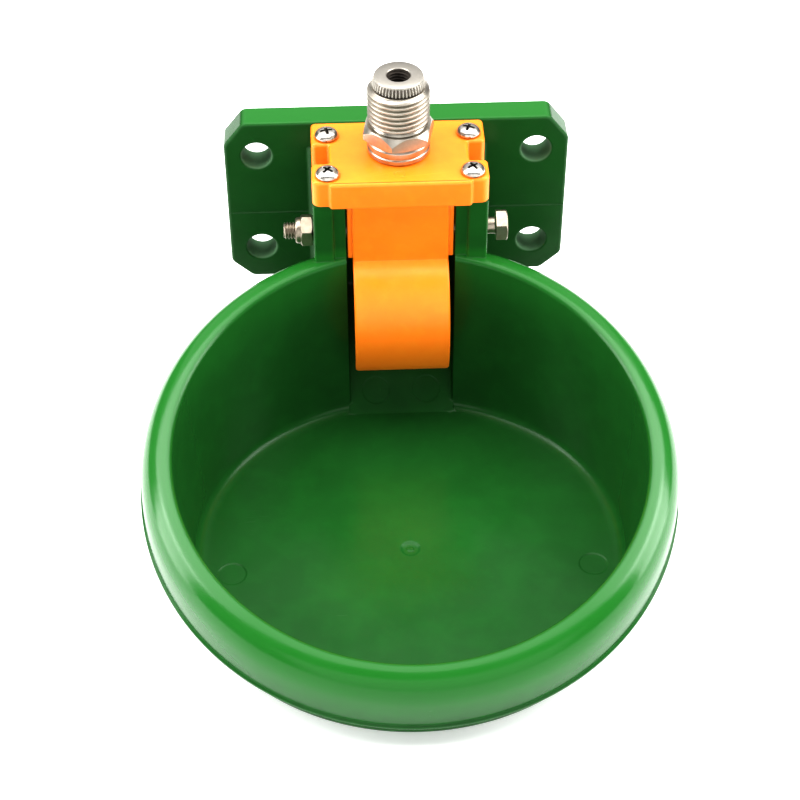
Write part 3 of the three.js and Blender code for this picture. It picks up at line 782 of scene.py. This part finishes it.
def build_body():
    n = 208
    body = prism(housing_outline(), -PLATE_H, HOUSING_TOP, 0, 0.35)

    # gutter under the housing, which leads down to the bowl's floor, then the plate and the bowl
    half = INNER + 3.6
    gutter = soften([(-9, -20), (INNER_FRONT, -20), (RAMP_FOOT[0], FLOOR_Z - 1), (RAMP_FOOT[0], BASE_Z + 0.2),
                     (-44.4, BASE_Z + 0.2, 2.0), (-10.4, -38.7, 2.0), (-9, -33)], seg=4)
    add(body, prism(gutter, -half, half, 1.2, 1.2, axis="X"))
    cut(body, rings_to_solid(bowl_rings(n, True), n))
    add(body, plate_solid())
    add(body, rings_to_solid(bowl_rings(n), n))

    # faint seam across the plate's front, on both sides of the housing
    inner_end, outer_end, low, high = 29.0, PLATE_W - 0.2, -4.56, -4.24
    for side in (-1, 1):
        seam = [(side * inner_end, low), (side * outer_end, low), (side * outer_end, high),
                (side * inner_end, high)]
        add(body, prism(seam, -PLATE_T - 0.13, -PLATE_T + 0.6, 0.06, 0, axis="Y", seg=1))

    # throat behind the paddle, which ends in the ramp down to the bowl's floor
    wedge = [(-52.5, FLOOR_Z - 1), (-52.5, FLOOR_Z - 0.01), RAMP_FOOT, (-38, -56.4), (-38, FLOOR_Z - 1)]
    add(body, prism(wedge, -INNER - 0.3, INNER + 0.3, 0, 0, axis="X"))
    above = HOUSING_TOP + 1
    throat = soften([(RAMP_HEAD[0], above), (-60, above), (-60, FLOOR_Z), (*RAMP_FOOT, 16),
                     (*RAMP_HEAD, 3)], seg=8)
    cut(body, prism(throat, -INNER, INNER, 0.8, 0.8, axis="X"))

    # hollows and holes
    cut(body, *pocket_tools())
    for x in (-HOLE_X, HOLE_X):
        for z in (-HOLE_Z, HOLE_Z):
            cut(body, shift(bolt_hole_tool(), x, 0, z, (90, "X")))
    for x, y in SCREWS:
        cut(body, shift(bar(SCREW_HOLE_R, HOUSING_TOP - 13, above, 32), x, y))
    for side in (-1, 1):
        low, high = sorted((side * 15.0, side * OUTER))
        cut(body, shift(flared(3.25, low, high, 0.35, 48), 0, HINGE_Y, HINGE_Z, (90, "Y")))

    # round ejector marks on the bowl's floor and on the ramp
    for x, y in ((61.3, -127.2), (-60.3, -126.5)):
        disc = lathe([(0, -0.19), (4.6, -0.19), (4.9, 0.0), (5.2, 0.1), (5.2, 2), (0, 2)], 64)
        cut(body, shift(disc, x, y, FLOOR_Z))
    slope = math.atan2(RAMP_HEAD[1] - RAMP_FOOT[1], RAMP_HEAD[0] - RAMP_FOOT[0])
    mark_y = -43.6
    for x in (-9.1, 9.2):
        disc = lathe([(0, -0.18), (4.9, -0.18), (5.15, 0.1), (5.15, 2), (0, 2)], 64)
        rise = (mark_y - RAMP_FOOT[0]) * math.tan(slope)
        cut(body, shift(disc, x, mark_y, FLOOR_Z + rise, (math.degrees(slope), "X")))
    return body


finish_piece(build_body(), "bowl_body_moulding", "housing", "bowl_body", GREEN)


# ---------------------------------------------------------------- cover
def build_cover():
    """Cover with an ear for each screw, open in the middle for the fitting."""
    front, back = cover_low[1], cover_high[1]
    right = [(21.8, front, 0.0), (23.7, front + 0.1, 1.3), (23.9, front + 1.5, 0.9),
             (OUTER, front + 1.5, 3.2), (OUTER, -34.0, 1.7), (23.6, -34.0, 0.9), (23.6, -23.6, 0.9),
             (OUTER, -23.6, 1.7), (OUTER, back, 1.6)]
    cover = prism(soften(mirrored(right), seg=6), COVER_LOW, COVER_TOP, 0.5, 1.1, seg=5)
    cut(cover, shift(flared(8.4, COVER_LOW, COVER_TOP, 0.3, 72), 0, VALVE_Y))
    for x, y in SCREWS:
        cut(cover, shift(bar(SCREW_HOLE_R, COVER_LOW - 1, COVER_TOP + 1, 32), x, y))
        # a shallow moulded seat under each screw head
        seat = lathe([(0, -0.12), (4.25, -0.12), (4.45, 0.06), (4.45, 1), (0, 1)], 64)
        cut(cover, shift(seat, x, y, COVER_TOP))
    # gate mark on the front part of the top, as moulding leaves it
    gate = lathe([(0, -0.05), (1.1, -0.05), (1.5, -0.16), (1.8, -0.16), (2.1, 0.04), (2.1, 1), (0, 1)], 48)
    cut(cover, shift(gate, -0.3, -41.6, COVER_TOP))
    return cover


finish_piece(build_cover(), "valve_cover_moulding", "housing", "valve_cover", ORANGE)


# ---------------------------------------------------------------- screws
def cross_tool(depth):
    """Tapered cross-shaped punch whose mouth lies at z = 0."""
    mouth = 0.9
    levels = ((mouth, 2.62, 0.62), (0.0, 2.25, 0.50), (-depth * 0.55, 1.62, 0.42), (-depth, 0.85, 0.34))
    rings = [[(0, 0, mouth)]]
    for z, reach, half in levels:
        ring = []
        for k in range(4):
            c, s = math.cos(math.pi / 2 * k), math.sin(math.pi / 2 * k)
            for u, v in ((reach, -half), (reach + 0.1, 0.0), (reach, half), (half, half)):
                ring.append((u * c - v * s, u * s + v * c, z))
        rings.append(ring)
    rings.append([(0, 0, -depth - 0.25)])
    return rings_to_solid(rings, 16)


def pan_screw(turn):
    """Screw whose head stands on z = 0, its cross recess turned by degrees."""
    shank_r = 1.85
    head = curve_through([(4.0, 0.42), (3.97, 0.9), (3.72, 1.45), (3.2, 1.98), (2.4, 2.42), (1.3, 2.7)], 4)
    profile = [(0, -15), (0.5, -15), (shank_r, -12.2), (shank_r, 0.2), (3.6, 0.2), (3.9, 0.28)]
    screw = lathe(profile + head + [(0, SCREW_HEAD_H)], 72)
    return cut(screw, shift(cross_tool(1.75), 0, 0, SCREW_HEAD_H - 0.18, (turn, "Z")))


for i, ((x, y), turn) in enumerate(zip(SCREWS, SCREW_TURNS), 1):
    finish_piece(shift(pan_screw(turn), x, y, COVER_TOP), f"pan_head_screw_{i}", "housing",
                 f"cover_screw_{i}", SCREW, 38)


# ---------------------------------------------------------------- inlet fitting
def build_fitting():
    """Collar, hexagon, neck and G1/2 pipe thread, bored out for the stem and the spring."""
    thread_r, root_r, pitch = 20.955 / 2, 9.32, 1.814
    low, collar_r, groove_r = COVER_TOP + 0.3, 10.6, 10.2
    profile = soften([(0, 18.4), (7.5, 18.4, 0.0), (8.05, 19.0, 0.0), (8.05, low, 0.2), (groove_r, low, 0.0),
                      (collar_r, low + 0.4, 0.0), (collar_r, 35.7, 0.15), (groove_r, 36.0, 0.1),
                      (groove_r, 36.5, 0.1), (collar_r, 36.8, 0.15), (collar_r, 38.6, 0.5), (9.9, 39.3, 0.4),
                      (9.9, 40.3), (0, 40.3)], seg=3, closed=False)
    body = lathe(profile, 144)
    neck = lathe([(0, 44.5), (9.9, 44.5), (9.45, 45.3), (9.2, 45.6), (9.2, 46.6), (0, 46.6)], 144)
    thread = helix(thread_r, root_r, pitch, 46.0, 59.4, 108, ROUND_WAVE, taper_low=0.9)
    add(body, hexagon(22, 39.9, 45.0, 1.0, 3.3, -12.5), neck, thread)
    bore = lathe([(0, 17), (3.5, 17), (3.5, 30), (7.3, 30), (7.3, 59.0), (7.7, 59.6), (7.7, 61), (0, 61)], 72)
    return shift(cut(body, bore), 0, VALVE_Y)


def build_plug():
    """Knurled plug with ridges in its hole; the knurl runs out above and below its teeth."""
    teeth, steps, tooth_depth = 46, 8, 0.85
    n = teeth * steps
    rings = [circle(r, z, n) for r, z in ((0, 53.6), (6.6, 53.6), (7.0, 54.0), (7.0, 59.7))]
    for z, crest, share in ((59.7, 8.6, 0.6), (59.95, 8.95, 1.0), (61.3, 8.7, 1.0), (62.35, 8.35, 1.0),
                            (62.5, 8.2, 0.15)):
        ring = []
        for j in range(n):
            tooth = min(1.0, 1.35 * (1 - abs(2 * (j % steps) / steps - 1)))
            r = crest - tooth_depth * share * (1 - tooth)
            ring.append((r * math.cos(TAU * j / n), r * math.sin(TAU * j / n), z))
        rings.append(ring)
    rings += [circle(r, z, n) for r, z in ((8.23, 62.55), (8.23, 62.95), (8.12, 63.12), (7.95, PLUG_TOP),
                                           (0, PLUG_TOP))]
    plug = rings_to_solid(rings, n)
    cut(plug, helix(3.95, 3.5, 1.15, 52.5, 62.6, 72))
    mouth = [(0, 62.2), (3.7, 62.2), (3.85, 62.5), (3.95, 62.95), (4.25, 63.25), (4.25, 64), (0, 64)]
    cut(plug, lathe(mouth, 96))
    return shift(plug, 0, VALVE_Y)


finish_piece(build_fitting(), "inlet_fitting", "housing", "valve_body", STEEL, 28)
finish_piece(build_plug(), "knurled_inlet_plug", "housing", "inlet_plug", PLUG, 28)


# ---------------------------------------------------------------- hinge bolt and lock nut
HEX_FLATS, NUT_X, NYLON_R = 10, -30.0, 3.6


def along_x(obj, x=0.0, flip=False):
    """Lays a turned piece on the hinge's axis, its upper end to +X or, flipped, to -X."""
    obj.data.transform(Matrix.Rotation(math.radians(-90 if flip else 90), 4, "Y"))
    return shift(obj, x, HINGE_Y, HINGE_Z)


def build_bolt():
    """M6 hexagon bolt with a washer face under its head and thread at its free end."""
    shank_r, washer_r, head_low, head_top = 2.95, 3.25, 33.0, 37.0
    shank = lathe([(0, -28.8), (2.35, -28.8), (shank_r, -28.2), (shank_r, 32.6), (washer_r, 33.1),
                   (washer_r, 33.6), (0, 33.6)], 72)
    thread = helix(2.97, 2.42, 1.0, -28.0, 0.0, 48)
    thread.data.transform(Matrix.Rotation(math.pi, 4, "X"))
    thread.data.transform(Matrix.Translation((0, 0, -40.0)))
    add(shank, thread)
    head = hexagon(HEX_FLATS, head_low, head_top, 0, 0.95, 28)
    dish = lathe([(0, 36.75), (3.4, 36.75), (3.9, 37.1), (3.9, 38), (0, 38)], 72)
    return along_x(add(shank, cut(head, dish)))


def build_nut():
    """Lock nut: hexagon with a round crown that holds the nylon ring."""
    hole_r = 3.12
    nut = hexagon(HEX_FLATS, 0, 4.1, 0.7, 0.95, 27)
    crown = [(0, 3.8), (4.45, 3.8), (4.5, 4.2), (4.5, 5.0), (4.42, 5.5), (4.15, 5.88), (3.8, 6.0), (0, 6.0)]
    add(nut, lathe(crown, 96))
    cut(nut, bar(hole_r, -1, 7.5, 64))
    cut(nut, lathe([(0, 4.3), (NYLON_R + 0.15, 4.3), (NYLON_R + 0.15, 5.5), (3.62, 7), (0, 7)], 64))
    cut(nut, lathe([(0, -1), (3.7, -1), (3.7, 0), (hole_r, 0.6), (0, 0.6)], 64))
    return along_x(nut, NUT_X, True)


def build_insert():
    ring = lathe([(0, 4.42), (3.45, 4.42), (NYLON_R, 4.55), (NYLON_R, 5.35), (3.45, 5.5), (0, 5.5)], 96)
    cut(ring, lathe([(0, 3), (3.1, 3), (3.1, 5.2), (3.3, 5.5), (3.4, 7), (0, 7)], 96))
    return along_x(ring, NUT_X, True)


finish_piece(build_bolt(), "hinge_bolt_m6", "housing", "hinge_bolt", ZINC, 28)
finish_piece(build_nut(), "hinge_lock_nut", "housing", "hinge_nut", ZINC, 28)
finish_piece(build_insert(), "lock_nut_insert", "housing", "hinge_nut_insert", NYLON)


# ---------------------------------------------------------------- press paddle
# side view as (y, z): the curved front from the hinge to the lower tip, and the back up again
NOSE = [(-44, -1), (-48.6, -3.2), (-53, -7.2), (-56.6, -12.4), (-58.9, -18.2), (-60, -24.4),
        (-59.9, -30.4), (-58.7, -36), (-56.6, -40.2), (-53.6, -42.4)]
BACK = [(-51.6, -41.2), (-52.8, -38.6), (-54.9, -34.8), (-56.2, -29.8), (-56.4, -24.8), (-55.5, -19.4),
        (-53.4, -14.2), (-50.2, -9.8), (-46.4, -6.2), (-41.4, -3.4)]
CHEEK_FRONT = [(-42, -1), (-47.6, -4.4), (-52, -8.4), (-55.4, -13.4), (-57.6, -18.9), (-58.6, -24.6),
               (-58.4, -30.2), (-57.2, -35.4), (-55, -39.6), (-51.8, -41.2)]
CHEEK_BACK = [(-46, -30), (-41, -18), (-34, -3), (-36, 2), (-41, 6)]
PADDLE_HALF_W, CHEEK_HALF_W, FLANGE_HALF_W, PADDLE_TOP = 16.5, 16.15, 18.2, 22.3


def build_paddle():
    """Curved shell with side cheeks and flanges, and behind it the hinge's boss and the lifting shelf."""
    outline = [(-44, PADDLE_TOP, 0.7)] + curve_through(NOSE, 4) + curve_through(BACK, 4) + [(-41, PADDLE_TOP)]
    paddle = prism(soften(outline, seg=4), -PADDLE_HALF_W, PADDLE_HALF_W, 0.9, 0.9, axis="X", seg=4)
    cheek = curve_through(CHEEK_FRONT, 3) + CHEEK_BACK
    flange = soften([(-42.4, 20.8), (-42.4, -1.2), (-33, -1.2), (-30.2, 2), (-30.2, 19), (-32, 20.8)],
                    0.9, seg=4)
    for side in (-1, 1):
        low, high = sorted((side * CHEEK_HALF_W, side * 14.1))
        add(paddle, prism(cheek, low, high, 0, 0, axis="X"))
        low, high = sorted((side * FLANGE_HALF_W, side * 16.0))
        add(paddle, prism(flange, low, high, 0.4, 0.4, axis="X"))
    shelf = prism(soften([(-41, 9.7), (-20.6, 9.7, 0.5), (-20.6, 12.7, 0.5), (-41, 12.7)], seg=4),
                  -16.45, 16.45, 0.5, 0.5, axis="X")
    boss = shift(bar(6.0, -16.42, 16.42, 72, 0.4), 0, HINGE_Y, HINGE_Z, (90, "Y"))
    arm = prism([(-36, 1.5), (-23, 10.1), (-23, 12.1), (-36, 12.1)], -1.5, 1.5, 0, 0, axis="X")
    web = prism([(-43, 9), (-36, 9), (-36, 5), (-43, 5)], -16.3, 16.3, 0, 0, axis="X")
    add(paddle, shelf, boss, arm, web)
    bore = flared(3.08, -FLANGE_HALF_W, FLANGE_HALF_W, 0.3, 64)
    return cut(paddle, shift(bore, 0, HINGE_Y, HINGE_Z, (90, "Y")))


finish_piece(build_paddle(), "press_paddle_moulding", "paddle", "press_paddle", PADDLE)


# ---------------------------------------------------------------- inner valve pieces keep their CAD shape
for node, material in (("valve_lock_nut", STEEL), ("valve_spring", SCREW), ("valve_stem", STEEL),
                       ("stem_seal", RUBBER)):
    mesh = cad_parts[node].data
    mesh.materials.clear()
    mesh.materials.append(material)


# ---------------------------------------------------------------- floor, light and camera
def build_floor():
    """Round floor just under the object, in rings so that its glow can grow with distance."""
    n, z = 64, cad_low.z / MM - 0.4
    verts = [(0, FLOOR_CENTRE_Y, z)]
    for radius in (600, 1500, 4000):
        verts += [(x, FLOOR_CENTRE_Y + y, z) for x, y, _ in circle(radius, z, n)]
    faces = []
    for j in range(n):
        k = (j + 1) % n
        faces.append((0, 1 + j, 1 + k))
        for a in (1, 1 + n):
            b = a + n
            faces.append((a + j, b + j, b + k, a + k))
    mesh = bpy.data.meshes.new("floor")
    mesh.from_pydata([tuple(MM * c for c in v) for v in verts], [], faces)
    mesh.materials.append(floor_paint())
    new_object("pale_floor", mesh)


def softbox(name, place, size, power):
    """Area light aimed at the object; place and size are in metres, power in watts."""
    target = Vector((0.0, -0.09, -0.02))
    light = bpy.data.lights.new(name, "AREA")
    light.shape, light.size, light.size_y = "RECTANGLE", size[0], size[1]
    light.energy = power
    obj = new_object(name, light)
    obj.location = place
    obj.rotation_mode = "QUATERNION"
    obj.rotation_quaternion = (Vector(place) - target).to_track_quat("Z", "Y")


def build_camera():
    """Long lens in front of the bowl, a little to its left, looking down at it."""
    place, angles = Vector((-22.5, -562.1, 412.3)), (47.277, 0.065, -2.506)
    camera = bpy.data.cameras.new("camera")
    camera.sensor_width, camera.lens = 36.0, 86.367
    camera.clip_start, camera.clip_end = 0.02, 20.0
    obj = new_object("camera", camera)
    turn = Euler([math.radians(a) for a in angles])
    obj.matrix_world = Matrix.LocRotScale(place * MM, turn, None)
    scene.camera = obj


build_floor()
build_camera()
softbox("overhead", (0.0, 0.04, 0.95), (2.2, 0.95), 33.0)
softbox("backdrop_glow", (0.0, 0.95, 0.80), (1.8, 1.1), 6.6)
softbox("left_side", (-0.95, -0.10, 0.40), (0.45, 1.0), 11.0)
softbox("right_side", (0.95, -0.10, 0.40), (0.45, 1.0), 12.0)
softbox("front_fill", (0.1, -1.3, 0.50), (2.2, 1.1), 14.5)

world = bpy.data.worlds.new("studio")
world.use_nodes = True
background = world.node_tree.nodes["Background"]
background.inputs["Color"].default_value = (1, 1, 1, 1)
background.inputs["Strength"].default_value = 0.12
scene.world = world
scene.view_settings.view_transform = "Standard"
scene.view_settings.look = "None"
scene.view_settings.gamma = 0.8
